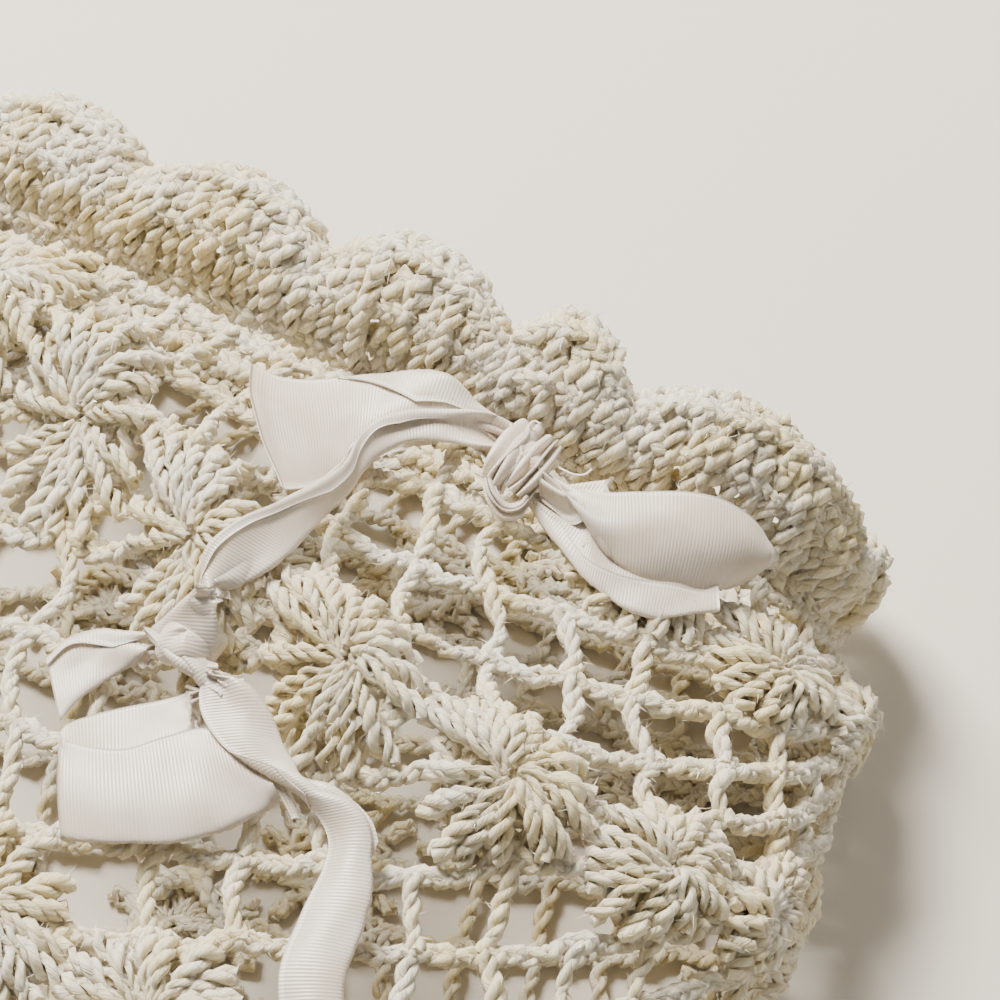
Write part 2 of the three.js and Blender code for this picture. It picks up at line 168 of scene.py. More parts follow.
def evenly(line, count):
    """Count places at even steps of length round a closed line."""
    closed = np.vstack([line, line[:1]])
    reach = reach_along(closed)
    want = np.arange(count) / count * reach[-1]
    return np.stack([np.interp(want, reach, closed[:, k]) for k in range(3)], axis=1)


# The cloth as a grid of points: stations from neck to crown, and even steps round each
STATIONS = 96
ROUND = 600
sections = along(SECTIONS, np.linspace(0, 1, STATIONS + 1))
grid = np.array([evenly(section_line(section), ROUND) for section in sections])
row_steps = np.linalg.norm(np.diff(grid, axis=0), axis=2).mean(axis=1)
row_reach = np.concatenate([[0], np.cumsum(row_steps)])
grid_round = np.roll(grid, -2, axis=1) - np.roll(grid, 2, axis=1)
grid_crown = np.gradient(grid, axis=0)
grid_normal = unit(np.cross(grid_round, grid_crown))
NECK_TO_CROWN = row_reach[-1]


def station(v):
    """The place of v, from neck to crown, in the rows of the grid."""
    return np.interp(np.clip(v, 0, 1) * NECK_TO_CROWN, row_reach, np.arange(STATIONS + 1))


def from_grid(table, u, v):
    """Values of a table that goes with the grid, u round the cloth and v from neck to crown."""
    at = station(v)
    i = np.minimum(at.astype(int), STATIONS - 1)
    s = (at - i)[..., None]
    around = ((u + SEAM) % 1) * ROUND
    k = around.astype(int) % ROUND
    r = (around - np.floor(around))[..., None]
    n = (k + 1) % ROUND
    low = table[i, k] * (1 - r) + table[i, n] * r
    high = table[i + 1, k] * (1 - r) + table[i + 1, n] * r
    return low * (1 - s) + high * s


def cloth(u, v, up=0.0):
    """Points over the cloth's outer face by up, u round it and v from neck to crown."""
    return from_grid(grid, u, v) + np.asarray(up)[..., None] * cloth_normal(u, v)


def cloth_normal(u, v):
    return unit(from_grid(grid_normal, u, v))


# Yarn: two-ply baby yarn with a brushed surface
YARN = 0.72  # radius of a strand
STEP = 0.8  # length between two points of a strand
PLY_PITCH = 4.2  # one turn of the plies
ANY_TURN = 6.0  # the strands of a line start turned by up to this many radians
PLAIT_HEIGHT = 0.62  # how high the strands of a plait cross, as a share of their spread
HAIR_GAP = 0.32  # from one lock of brushed hairs to the next: single hairs are too fine to show
HAIR_LENGTH = 3.0
WOBBLE = 0.18  # how far a strand strays from its place
SLUB = 0.17  # how much its thickness varies

# How a kind of stitch is wound: the length of a turn, how far its strands stand off the middle,
# and how thick they are as a share of the yarn
Stitch = namedtuple("Stitch", "pitch spread thick")
CHAIN = Stitch(4.8, 0.66, 0.9)
POST = Stitch(5.8, 0.52, 0.84)
PETAL = Stitch(5.6, 0.62, 0.74)
SHELL_BACK = Stitch(5.2, 1.1, 1.1)
CROWN_RING = Stitch(5.2, 0.85, 1.0)
RUFFLE_STITCH = Stitch(5.6, 0.66, 0.76)
RUFFLE_ROUND = Stitch(5.0, 0.85, 1.05)
RUFFLE_BACK = Stitch(6.0, 1.5, 1.4)


def drifting(shape):
    """Random numbers of spread 1 that change slowly down the first axis."""
    noise = rng.normal(size=shape)
    for _ in range(4):
        noise = (np.roll(noise, 1, axis=0) + 2 * noise + np.roll(noise, -1, axis=0)) / 4
    return noise / noise.std()


def frames(path, normal):
    """Side and up directions, and the length so far, along a line."""
    way = unit(np.gradient(path, axis=0))
    side = unit(np.cross(normal, way))
    return side, np.cross(way, side), reach_along(path)


class Strands:
    """Open lines of yarn that become one mesh of tubes."""

    def __init__(self):
        self.lines = []
        self.thick = []

    def lay(self, line, thick):
        self.lines.append(line)
        self.thick.append(np.broadcast_to(thick, len(line)))

    def plait(self, path, normal, stitch):
        """Lays three strands that cross each other flat, as a chain of stitches does."""
        turn = rng.uniform(0, ANY_TURN)
        side, up, reach = frames(path, normal)
        for k in range(3):
            a = 2 * math.pi * (reach / stitch.pitch + k / 3) + turn
            across = stitch.spread * np.sin(a)
            over = PLAIT_HEIGHT * stitch.spread * np.sin(2 * a)
            self.lay(path + across[..., None] * side + over[..., None] * up, stitch.thick)

    def twist(self, path, normal, stitch, count, fat=1.0):
        """Lays strands wound round each other, as the post of a stitch is, fat times as thick."""
        turn = rng.uniform(0, ANY_TURN)
        side, up, reach = frames(path, normal)
        spread = np.asarray(stitch.spread * fat)
        for k in range(count):
            a = 2 * math.pi * (reach / stitch.pitch + k / count) + turn
            offset = np.cos(a)[..., None] * side + np.sin(a)[..., None] * up
            self.lay(path + spread[..., None] * offset, stitch.thick * fat)

    def mesh(self, name, wobble=WOBBLE):
        """All the lines as edges, a little off their places, with the thickness at each point."""
        points = np.concatenate(self.lines)
        points = points + wobble * drifting(points.shape)
        swell = np.concatenate(self.thick) * (1 + SLUB * drifting((len(points), 1))[:, 0])
        # The side that lies on the table is flattened by it
        points[:, 2] = np.maximum(points[:, 2], YARN * swell)
        points = (points - ORIGIN) * MM
        counts = np.array([len(line) for line in self.lines])
        goes_on = np.ones(len(points), bool)
        goes_on[np.cumsum(counts) - 1] = False
        start = np.nonzero(goes_on)[0]
        mesh = bpy.data.meshes.new(name)
        mesh.vertices.add(len(points))
        mesh.vertices.foreach_set("co", points.astype(np.float32).ravel())
        mesh.edges.add(len(start))
        edges = np.stack([start, start + 1], axis=1)
        mesh.edges.foreach_set("vertices", edges.astype(np.int32).ravel())
        thick = mesh.attributes.new("thick", "FLOAT", "POINT")
        thick.data.foreach_set("value", swell.astype(np.float32))
        mesh.update()
        return mesh


# Where the crossings of the net lie: each is a little off its place, as hand work is
UNEVEN = 0.42
uneven = rng.normal(0, UNEVEN, (ROWS + 1, COLUMNS, 3)) * np.array([1.0, 1.0, 0.8])
closed_rings = np.concatenate([grid, grid[:, :1]], axis=1)
ring_length = np.linalg.norm(np.diff(closed_rings, axis=1), axis=2).sum(axis=1)


def round_length(v):
    """How far it is round the cloth at v."""
    return np.interp(station(v), np.arange(STATIONS + 1), ring_length)


def net(row, column, up=-WALL / 2):
    """Points of the net at rows and columns, which need not be whole, and the cloth's normals."""
    r = np.clip(np.floor(row).astype(int), 0, ROWS - 1)
    c = np.floor(column).astype(int)
    fr = (row - r)[..., None]
    fc = (column - c)[..., None]
    fr, fc = fr * fr * (3 - 2 * fr), fc * fc * (3 - 2 * fc)
    c, n = c % COLUMNS, (c + 1) % COLUMNS
    low = uneven[r, c] * (1 - fc) + uneven[r, n] * fc
    high = uneven[r + 1, c] * (1 - fc) + uneven[r + 1, n] * fc
    off = low * (1 - fr) + high * fr
    v = (row + CHAIN_AT) / ROWS
    u = column / COLUMNS + POST_AT / SLOTS
    u = u + off[..., 0] / round_length(v)
    v = v + off[..., 1] / NECK_TO_CROWN
    normal = cloth_normal(u, v)
    return from_grid(grid, u, v) + (up + off[..., 2])[..., None] * normal, normal


NET_ROWS = 13  # rows of open net: the closing rounds of the crown take the rest
UNDER_FROM = 24  # columns from here on lie on the table
SAG = 0.09  # how far a chain hangs between two posts, as a share of a row
SHELL_EVERY = 5  # slots from one shell to the next along a row
SHELL_HEART = 0.08  # where a shell's stitches start, as a share of the way to its rim
CROWN_BULGE = 1.6  # how far the middle of the closed end stands out
PUFF = 2.3  # height of a shell's stitches over the net


def is_shell(slot, row):
    return row > 0 and (slot + row) % SHELL_EVERY in (2, 3)


def shell_centres():
    """Slot and row of each shell's middle: it fills the row before and the row itself."""
    for slot in range(SLOTS):
        for row in range(1, NET_ROWS):
            if (slot + row) % SHELL_EVERY == 3:
                yield slot, row


def chain_rows(strands, low, high):
    """The chains of stitches round the net, from one column to another."""
    for row in range(NET_ROWS + 1):
        length = round_length(np.array((row + CHAIN_AT) / ROWS)) * (high - low) / COLUMNS
        column = np.linspace(low, high, int(length / STEP) + 2)
        path, normal = net(row + SAG * np.sin(math.pi * (column % 1)) ** 2, column)
        strands.plait(path, normal, CHAIN)


def posts(strands, low, high, count):
    """The upright stitches between two chains, where no shell fills the net."""
    for row in range(NET_ROWS):
        for column in range(low, high):
            slot = column // 2
            if is_shell(slot, row) or (column % 2 == 0 and is_shell((slot - 1) % SLOTS, row)):
                continue
            at = np.linspace(-0.02, 1.02, 15)
            lean = 0.1 * rng.normal() * np.sin(math.pi * at)
            path, normal = net(row + at, column + lean)
            strands.twist(path, normal, POST, count)


def shells(strands, low, high, stitches, points, rounds):
    """Round shells: long puffed stitches that spread from the shell's middle like petals.

    A shell has that many stitches of that many points. Each of its closing rounds is given by its
    reach, as a share of the shell, and its number of points.
    """
    away = np.linspace(SHELL_HEART, 1.0, points)
    puff = PUFF * np.sin(math.pi * (0.12 + 0.8 * away)) ** 0.8 - 0.3
    fat = 0.7 + 0.6 * away**0.8
    for slot, row in shell_centres():
        if not low <= 2 * slot < high:
            continue
        turned = rng.uniform(0, 2 * math.pi)
        for k in range(stitches):
            angle = turned + 2 * math.pi * (k + 0.25 * rng.uniform(-1, 1)) / stitches
            # The shell fills two windows each way, so its rim is a rounded square
            rim = 1.02 / (abs(math.cos(angle)) ** 3 + abs(math.sin(angle)) ** 3) ** (1 / 3)
            column = 2 * slot + 1 + away * rim * math.cos(angle)
            rise = row + away * rim * math.sin(angle)
            path, normal = net(rise, column, -WALL / 2 + puff + 0.25 * rng.normal())
            strands.twist(path, normal, PETAL, 3, fat)
        # Rounds under the stitches close the gaps between them
        for reach, count in rounds:
            angle = np.linspace(0, 2 * math.pi, count)
            column = 2 * slot + 1 + reach * np.cos(angle)
            path, normal = net(row + reach * np.sin(angle), column, -WALL / 2 - 0.3)
            strands.plait(path, normal, SHELL_BACK)


def crown_end(strands):
    """The closed end: rings of chain that draw together over the last rows and the middle."""
    for v in np.linspace((NET_ROWS + 0.3 + CHAIN_AT) / ROWS, 1.0, 7):
        u = np.linspace(0, 1, int(round_length(np.array(v)) / STEP) + 2)
        path = cloth(u, np.full_like(u, v), -WALL / 2)
        strands.plait(path, cloth_normal(u, np.full_like(u, v)), CROWN_RING)
    u = np.linspace(0, 1, 90)
    rim = cloth(u, np.ones_like(u), -WALL / 2)
    middle = rim[:-1].mean(axis=0)
    outward = unit(middle - cloth(u, np.full_like(u, 0.93))[:-1].mean(axis=0))
    for share in (0.78, 0.54, 0.3, 0.1):
        path = middle + share * (rim - middle) + (CROWN_BULGE * (1 - share)) * outward
        ring = CROWN_RING._replace(spread=CROWN_RING.spread * min(1.0, 2 * share))
        strands.plait(path, np.broadcast_to(outward, path.shape), ring)


def ruffle_face(u, w, up=0.0):
    """Points of the ruffle: u round the mouth, w from the neck to its edge, up over its middle."""
    base = from_grid(grid, u, np.zeros_like(u))
    normal = cloth_normal(u, np.zeros_like(u))
    out = unit(base - from_grid(grid, u, np.full_like(u, 0.03)))
    # 1 where the ruffle stands free, 0 where it is pressed flat on the table
    free = smoothstep(normal[..., 2], -0.15, 0.4)
    meet = np.concatenate([LOBES_MEET, LOBES_MEET[:1] + 1])
    share = np.interp((u - meet[0]) % 1 + meet[0], meet, np.arange(len(meet)))
    swell = VALLEY + (1 - VALLEY) * np.abs(np.sin(math.pi * share)) ** 0.7
    rows = np.linspace(0, 1, len(RUFFLE_OUT))
    table_out = np.column_stack([rows, RUFFLE_OUT, RUFFLE_UP])

    def place(at):
        spot = along(table_out, np.clip(at, 0, 1).ravel()).reshape(at.shape + (3,))
        far = 0.95 + PRESSED_REACH * at * (1 - free) + spot[..., 1] * swell * free
        high = -WALL / 2 * (1 - free) + spot[..., 2] * swell * free
        return base + far[..., None] * out + high[..., None] * normal

    here, ahead = place(w), place(w + 0.02) - place(w - 0.02)
    cross = unit(np.cross(from_grid(grid_round, u, np.zeros_like(u)), -unit(ahead)))
    return here + np.asarray(up)[..., None] * cross, cross


RUFFLE_COLUMNS = 136  # stitches side by side
RUFFLE_POINTS = 20  # points of each


def ruffle_stitches(strands):
    """Long stitches side by side over the ruffle, with rounds across them on both faces."""
    around = np.linspace(0, 1, 2001)
    far = reach_along(ruffle_face(around, np.full_like(around, 0.6))[0])
    places = np.interp((np.arange(RUFFLE_COLUMNS) + 0.5) / RUFFLE_COLUMNS * far[-1], far, around)
    step = far[-1] / RUFFLE_COLUMNS
    w = np.linspace(0.0, 1.0, RUFFLE_POINTS)
    fat = 0.44 * step * (1 + 0.25 * np.sin(math.pi * w))
    for place in places:
        u = place + 0.0012 * rng.normal() * np.sin(3 * w + rng.uniform(0, 6))
        path, normal = ruffle_face(u, w, 0.3 * rng.normal() + 0.6 * np.sin(2.4 * math.pi * w))
        strands.twist(path, normal, RUFFLE_STITCH, 3, fat)
    # A row is the stitch, its height over the face, its points and where its rounds lie
    for stitch, up, points, rounds in (
        (RUFFLE_ROUND, 0.5, 560, (0.0, 0.3, 0.55, 0.78, 1.0)),
        (RUFFLE_BACK, -0.7, 280, (0.14, 0.42, 0.67, 0.89)),
    ):
        for at in rounds:
            u = np.linspace(0, 1, points)
            path, normal = ruffle_face(u, np.full_like(u, at), up)
            strands.plait(path, normal, stitch)


def add(tree, kind, inputs=None, **settings):
    """Adds a node with its settings. An input is a value, a socket or a node's first output."""
    node = tree.nodes.new(kind)
    for name, value in settings.items():
        setattr(node, name, value)
    for key, value in (inputs or {}).items():
        if isinstance(value, bpy.types.Node):
            value = value.outputs[0]
        if isinstance(value, bpy.types.NodeSocket):
            tree.links.new(value, node.inputs[key])
        else:
            node.inputs[key].default_value = value
    return node


def colour(text):
    """An sRGB hex colour as linear numbers."""
    parts = [int(text[i : i + 2], 16) / 255 for i in (1, 3, 5)]
    linear = [c / 12.92 if c <= 0.04045 else ((c + 0.055) / 1.055) ** 2.4 for c in parts]
    return (*linear, 1.0)


def new_tree(name, sockets):
    """A tree for meshes, what adds a node to it, and its named inputs as the nodes get them."""
    tree = bpy.data.node_groups.new(name, "GeometryNodeTree")
    for label, kind in sockets.items():
        tree.interface.new_socket(label, in_out="INPUT", socket_type="NodeSocket" + kind)
    tree.interface.new_socket("Result", in_out="OUTPUT", socket_type="NodeSocketGeometry")
    node = partial(add, tree)
    return tree, node, node("NodeGroupInput").outputs


def end_tree(node, geometry, material):
    """Makes the instances real, gives the whole its material and hands it out."""
    real = node("GeometryNodeRealizeInstances", {"Geometry": geometry})
    dyed = node("GeometryNodeSetMaterial", {"Geometry": real, "Material": material})
    node("NodeGroupOutput", {"Result": dyed})


def yarn_tubes_tree():
    """Turns lines of yarn into tubes, with the place round and along each strand kept."""
    sockets = {"Lines": "Geometry", "Sides": "Int", "Strand radius": "Float", "Yarn": "Material"}
    tree, node, given = new_tree("yarn_tubes", sockets)
    curve = node("GeometryNodeMeshToCurve", {"Mesh": given["Lines"]})
    length = node("GeometryNodeSplineParameter").outputs["Length"]
    circle = node("GeometryNodeCurvePrimitiveCircle", {"Resolution": given["Sides"], "Radius": 1.0})
    spot = node("GeometryNodeInputPosition")
    inputs = {"Geometry": curve, "Name": "run", "Value": length}
    lines = node("GeometryNodeStoreNamedAttribute", inputs, data_type="FLOAT")
    inputs = {"Geometry": circle, "Name": "ply", "Value": spot}
    ring = node("GeometryNodeStoreNamedAttribute", inputs, data_type="FLOAT_VECTOR")
    thick = node("GeometryNodeInputNamedAttribute", {"Name": "thick"}, data_type="FLOAT")
    radius = node("ShaderNodeMath", {0: thick, 1: given["Strand radius"]}, operation="MULTIPLY")
    inputs = {"Curve": lines, "Profile Curve": ring, "Scale": radius, "Fill Caps": True}
    tubes = node("GeometryNodeCurveToMesh", inputs)
    smooth = node("GeometryNodeSetShadeSmooth", {"Geometry": tubes})
    end_tree(node, smooth, given["Yarn"])
    return tree


def fluff_tree():
    """Scatters short tapered fibres over tubes of yarn, from lying flat to standing off."""
    numbers = ("Fibres a square metre", "Fibre length", "Fibre radius", "Least tilt", "Most tilt")
    sockets = {"Tubes": "Geometry", **dict.fromkeys(numbers, "Float")}
    sockets |= {"Seed": "Int", "Fibre": "Material"}
    tree, node, given = new_tree("fluff", sockets)
    seed = given["Seed"]
    inputs = {"Mesh": given["Tubes"], "Density": given["Fibres a square metre"], "Seed": seed}
    spots = node("GeometryNodeDistributePointsOnFaces", inputs)
    inputs = {"Vertices": 3, "Radius Top": 0.0, "Radius Bottom": given["Fibre radius"], "Depth": 1.0}
    fibre = node("GeometryNodeMeshCone", inputs)
    # A random number has its bounds at inputs 2 and 3 and comes out at output 1
    tilt, turn, size = (
        node("FunctionNodeRandomValue", {2: low, 3: high, "Seed": seed}).outputs[1]
        for low, high in ((given["Least tilt"], given["Most tilt"]), (0.0, 2 * math.pi), (0.6, 1.4))
    )
    rotation = spots.outputs["Rotation"]
    for turned in ({2: turn}, {0: tilt}):
        inputs = {"Rotation": rotation, "Rotate By": node("ShaderNodeCombineXYZ", turned)}
        rotation = node("FunctionNodeRotateEuler", inputs, space="LOCAL")
    scale = node("ShaderNodeMath", {0: size, 1: given["Fibre length"]}, operation="MULTIPLY")
    inputs = {"Points": spots, "Instance": fibre, "Rotation": rotation, "Scale": scale}
    end_tree(node, node("GeometryNodeInstanceOnPoints", inputs), given["Fibre"])
    return tree


def put(name, data):
    """A new object in the scene."""
    thing = bpy.data.objects.new(name, data)
    bpy.context.scene.collection.objects.link(thing)
    return thing


def through(tree, name, mesh, values):
    """Runs a mesh through a tree and keeps the result as a plain mesh object."""
    source = put(name + "_source", mesh)
    modifier = source.modifiers.new("tree", "NODES")
    modifier.node_group = tree
    for item in tree.interface.items_tree:
        if item.name in values:
            modifier[item.identifier] = values[item.name]
    bpy.context.view_layer.update()
    depsgraph = bpy.context.evaluated_depsgraph_get()
    result = bpy.data.meshes.new_from_object(
        source.evaluated_get(depsgraph), preserve_all_data_layers=True, depsgraph=depsgraph
    )
    result.name = name
    bpy.data.objects.remove(source)
    return put(name, result)


def new_material(name):
    """A material without nodes, and what adds one to it."""
    material = bpy.data.materials.new(name)
    material.use_nodes = True
    material.node_tree.nodes.clear()
    return material, partial(add, material.node_tree)


def end_material(node, inputs):
    """Ends a material in one shader with these inputs."""
    shader = node("ShaderNodeBsdfPrincipled", inputs)
    node("ShaderNodeOutputMaterial", {"Surface": shader})


def mixed(node, share, first, second):
    """A mix of two colours, which such a node has at inputs 6 and 7, with its result at output 2."""
    return node("ShaderNodeMix", {0: share, 6: first, 7: second}, data_type="RGBA").outputs[2]


def drifting_colour(node, size, low, high, first, second):
    """A colour that drifts between two over about size millimetres of the piece."""
    place = node("ShaderNodeTexCoord").outputs["Object"]
    scaled = node("ShaderNodeMapping", {"Vector": place, "Scale": (1000.0 / size,) * 3})
    noise = node("ShaderNodeTexNoise", {"Vector": scaled, "Scale": 1.0, "Detail": 2.0})
    share = node("ShaderNodeMapRange", {"Value": noise, "From Min": low, "From Max": high})
    return mixed(node, share, colour(first), colour(second))


def make_yarn_material():
    """Brushed acrylic baby yarn of two soft plies.

    The brushed staple fibre makes it matt, warm and a little see-through at its rim. Fine hairs wind
    round with the plies; the line where the plies meet and the valleys between the hairs are painted
    darker, as painted shade.
    """
    material, node = new_material("brushed_baby_yarn")
    ply = node("ShaderNodeAttribute", attribute_name="ply").outputs["Vector"]
    run = node("ShaderNodeAttribute", attribute_name="run").outputs["Fac"]
    spot = node("ShaderNodeSeparateXYZ", {0: ply}).outputs
    angle = node("ShaderNodeMath", {0: spot[1], 1: spot[0]}, operation="ARCTAN2")
    turns = {0: run, 1: 2 * math.pi * 1000 / PLY_PITCH, 2: angle}
    winding = node("ShaderNodeMath", turns, operation="MULTIPLY_ADD")
    sine = node("ShaderNodeMath", {0: winding}, operation="SINE")
    cosine = node("ShaderNodeMath", {0: winding}, operation="COSINE")
    groove = node("ShaderNodeMath", {0: sine}, operation="ABSOLUTE")
    wound = node("ShaderNodeCombineXYZ", {0: cosine, 1: sine, 2: run})
    scale = (YARN / HAIR_GAP, YARN / HAIR_GAP, 1000 / HAIR_LENGTH)
    drawn_out = node("ShaderNodeMapping", {"Vector": wound, "Scale": scale})
    inputs = {"Vector": drawn_out, "Scale": 1.0, "Detail": 3.0, "Roughness": 0.65}
    hairs = node("ShaderNodeTexNoise", inputs)
    relief = node("ShaderNodeMath", {0: hairs, 1: 1.6, 2: groove}, operation="MULTIPLY_ADD")
    # The low places of the relief, the ply grooves and the hair valleys, take a darker colour:
    # painted shade.
    inputs = {"Value": relief, "From Min": 0.6, "From Max": 1.4, "To Min": 0.6, "To Max": 0.0}
    depth = node("ShaderNodeMapRange", inputs)
    lit = drifting_colour(node, 9.0, 0.38, 0.62, "#F7ECD2", "#EFDCAC")
    inputs = {
        # The darker colour is painted shade in the yarn's low places.
        "Base Color": mixed(node, depth, lit, colour("#D0BC8C")),
        "Normal": node("ShaderNodeBump", {"Height": relief, "Strength": 0.85, "Distance": 0.00045}),
        "Roughness": 0.75,
        "Sheen Weight": 0.4,
        "Sheen Roughness": 0.45,
        "Subsurface Weight": 0.35,
        "Subsurface Radius": (1.0, 0.85, 0.6),
        "Subsurface Scale": 0.002,
        "Specular IOR Level": 0.35,
    }
    end_material(node, inputs)
    return material


def make_plain_material(name, base, rough, specular):
    material, node = new_material(name)
    inputs = {"Base Color": colour(base), "Roughness": rough, "Specular IOR Level": specular}
    end_material(node, inputs)
    return material


yarn_cream = make_yarn_material()
# Loose ends of brushed acrylic staple: matt and pale, they soften the yarn's outline
staple = make_plain_material("brushed_fibre", "#F7EFD9", 0.8, 0.2)
# Smooth bright nylon filament spun in with the staple: it shows as short glints
filament = make_plain_material("glossy_filament", "#FFFCF4", 0.12, 1.0)
tubes_tree = yarn_tubes_tree()
fibre_tree = fluff_tree()


def knit(name, strands, node, sides=4):
    """One piece of crochet, as tubes of yarn."""
    values = {"Sides": sides, "Strand radius": YARN * MM, "Yarn": yarn_cream}
    piece = through(tubes_tree, name, strands.mesh(name + "_lines"), values)
    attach(piece, "root")
    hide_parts(node)
    return piece


# Fibres on the yarn: how many to a square metre, their length and radius, and how far they lean
# from upright at least and at most, in radians
Fibres = namedtuple("Fibres", "density length radius least most")
STANDING = Fibres(150000, 1.5, 0.035, 0.3, 1.2)
LYING = Fibres(70000, 0.85, 0.09, 1.35, 1.6)


def brush(name, over, node, fibres, material, seed):
    """Fine fibres on a piece of crochet."""
    values = {
        "Fibres a square metre": fibres.density,
        "Fibre length": fibres.length * MM,
        "Fibre radius": fibres.radius / fibres.length,
        "Least tilt": fibres.least,
        "Most tilt": fibres.most,
        "Seed": seed,
        "Fibre": material,
    }
    piece = through(fibre_tree, name, over.data.copy(), values)
    # None goes into the table
    for vertex in piece.data.vertices:
        vertex.co.z = max(vertex.co.z, 0.0)
    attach(piece, "root")
    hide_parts(node)


def make_crown():
    chains, upper, under, solid, solid_under = (Strands() for _ in range(5))
    chain_rows(chains, 0, UNDER_FROM)
    posts(upper, 0, UNDER_FROM, 3)
    chain_rows(under, UNDER_FROM, COLUMNS)
    posts(under, UNDER_FROM, COLUMNS, 2)
    crown_end(under)
    shells(solid, 0, UNDER_FROM, 16, 12, ((0.42, 22), (0.8, 36)))
    shells(solid_under, UNDER_FROM, COLUMNS, 13, 8, ((0.6, 20),))
    pieces = [
        knit("chains_upper", chains, "crown", sides=5),
        knit("posts_upper", upper, "crown", sides=5),
        knit("shells_upper", solid, "crown"),
    ]
    knit("net_under", under, "crown")
    knit("shells_under", solid_under, "crown")
    for i, piece in enumerate(pieces):
        brush(piece.name + "_fluff", piece, "crown", STANDING, staple, 3 + i)
        brush(piece.name + "_glints", piece, "crown", LYING, filament, 13 + i)


def make_ruffle():
    strands = Strands()
    ruffle_stitches(strands)
    piece = knit("ruffle_stitches", strands, "ruffle")
    brush("ruffle_fluff", piece, "ruffle", STANDING._replace(density=120000), staple, 9)
    brush("ruffle_glints", piece, "ruffle", LYING, filament, 19)


# The camera: its rise over the table, what it looks at in the drawing frame, and its distance
RISE = math.radians(55)
TARGET = np.array([0.0, 0.0, 30.0])
DISTANCE = 350.0
PICTURE = 1000  # pixels across the picture
PIXEL = 0.12  # size of one at the target
FORWARD = np.array([0.0, math.cos(RISE), -math.sin(RISE)])
UPWARD = np.array([0.0, math.sin(RISE), math.cos(RISE)])
SENSOR = 36.0


def add_camera():
    """A close camera at the height of the photograph's, over the front of the bonnet."""
    camera = bpy.data.cameras.new("camera")
    camera.sensor_width = SENSOR
    camera.lens = SENSOR * DISTANCE / (PICTURE * PIXEL)
    camera.clip_start = 0.01
    eye = put("camera", camera)
    eye.location = (TARGET - ORIGIN - DISTANCE * FORWARD) * MM
    eye.rotation_euler = (math.pi / 2 - RISE, 0.0, 0.0)
    bpy.context.scene.camera = eye


def add_stage():
    bpy.ops.mesh.primitive_plane_add(size=6.0, location=(0, 0, -0.0002))
    floor = bpy.context.object
    floor.name = "floor"
    # Pale uncoated paper, which gives soft shadows and no gloss
    floor.data.materials.append(make_plain_material("pale_floor", "#D2CCC0", 0.8, 0.2))
    world = bpy.data.worlds.new("studio")
    world.use_nodes = True
    background = world.node_tree.nodes["Background"]
    background.inputs["Color"].default_value = (1.0, 0.97, 0.92, 1.0)
    background.inputs["Strength"].default_value = 0.2
    bpy.context.scene.world = world
    # A row is the lamp's name, where it stands, its size and its power
    for name, spot, size, power in (
        ("window", (-0.3, 0.55, 0.76), 0.4, 38.0),
        ("fill", (0.5, -0.6, 0.8), 0.8, 2.2),
        ("rim", (0.6, 0.5, 0.5), 0.5, 1.5),
    ):
        light = bpy.data.lights.new(name, "AREA")
        light.energy = power
        light.color = (1.0, 0.955, 0.89)
        light.size = size
        lamp = put(name, light)
        lamp.location = spot
        x, y, z = spot
        lamp.rotation_euler = (math.atan2(math.hypot(x, y), z), 0.0, math.atan2(y, x) + math.pi / 2)


# The height of the bonnet over the table in plan, as the ribbon feels it: bumps are bridged, and
# a cell is a millimetre wide
PLAN_LOW = np.array([-130.0, -130.0])
PLAN_SIZE = (200, 230)


def blurred(table, times):
    for _ in range(times):
        for axis in (0, 1):
            table = (np.roll(table, 1, axis) + 2 * table + np.roll(table, -1, axis)) / 4
    return table


def make_roof():
    """The height of the cloth and the ruffle in plan, cell by cell, with narrow hollows filled."""
    roof = np.zeros(PLAN_SIZE)
    around = np.linspace(0, 1, 1200, endpoint=False)
    u, v = np.meshgrid(around, np.linspace(0, 1, 240), indexing="ij")
    points = [cloth(u, v).reshape(-1, 3)]
    for w in np.linspace(0, 1, 24):
        around = np.linspace(0, 1, 900, endpoint=False)
        points.append(ruffle_face(around, np.full_like(around, w), 1.5)[0])
    points = np.concatenate(points)
    cell = np.round(points[:, :2] - PLAN_LOW).astype(int)
    np.maximum.at(roof, (cell[:, 0], cell[:, 1]), points[:, 2])
    wide = roof
    for dx in (-1, 0, 1):
        for dy in (-1, 0, 1):
            wide = np.maximum(wide, np.roll(roof, (dx, dy), (0, 1)))
    return blurred(wide, 3)


roof_table = make_roof()


def roof_height(x, y):
    """The height in plan at x, y, between the cells' middles."""
    at = np.stack([x, y], axis=-1) - PLAN_LOW
    cell = np.clip(np.floor(at).astype(int), 0, np.array(PLAN_SIZE) - 2)
    f = np.clip(at - cell, 0, 1)
    i, j, fx, fy = cell[..., 0], cell[..., 1], f[..., 0], f[..., 1]
    low = roof_table[i, j] * (1 - fy) + roof_table[i, j + 1] * fy
    high = roof_table[i + 1, j] * (1 - fy) + roof_table[i + 1, j + 1] * fy
    return low * (1 - fx) + high * fx


def from_picture(x, y, over, evened=0):
    """The first places that the lines of sight through x, y meet at a height over the bonnet.

    The depths are evened along the line that many times, as a stiff ribbon bridges the hollows.
    """
    right = (x - PICTURE / 2) * PIXEL
    up = (PICTURE / 2 - y) * PIXEL
    ray = right[:, None] * np.array([1.0, 0.0, 0.0]) + up[:, None] * UPWARD + DISTANCE * FORWARD
    share = np.linspace(0.75, 1.3, 1400)
    places = TARGET - DISTANCE * FORWARD + share[None, :, None] * ray[:, None, :]
    under = places[..., 2] < roof_height(places[..., 0], places[..., 1]) + over[:, None]
    depth = share[np.argmax(under, axis=1)]
    for _ in range(evened):
        depth[1:-1] = (depth[:-2] + 2 * depth[1:-1] + depth[2:]) / 4
    return TARGET - DISTANCE * FORWARD + depth[:, None] * ray


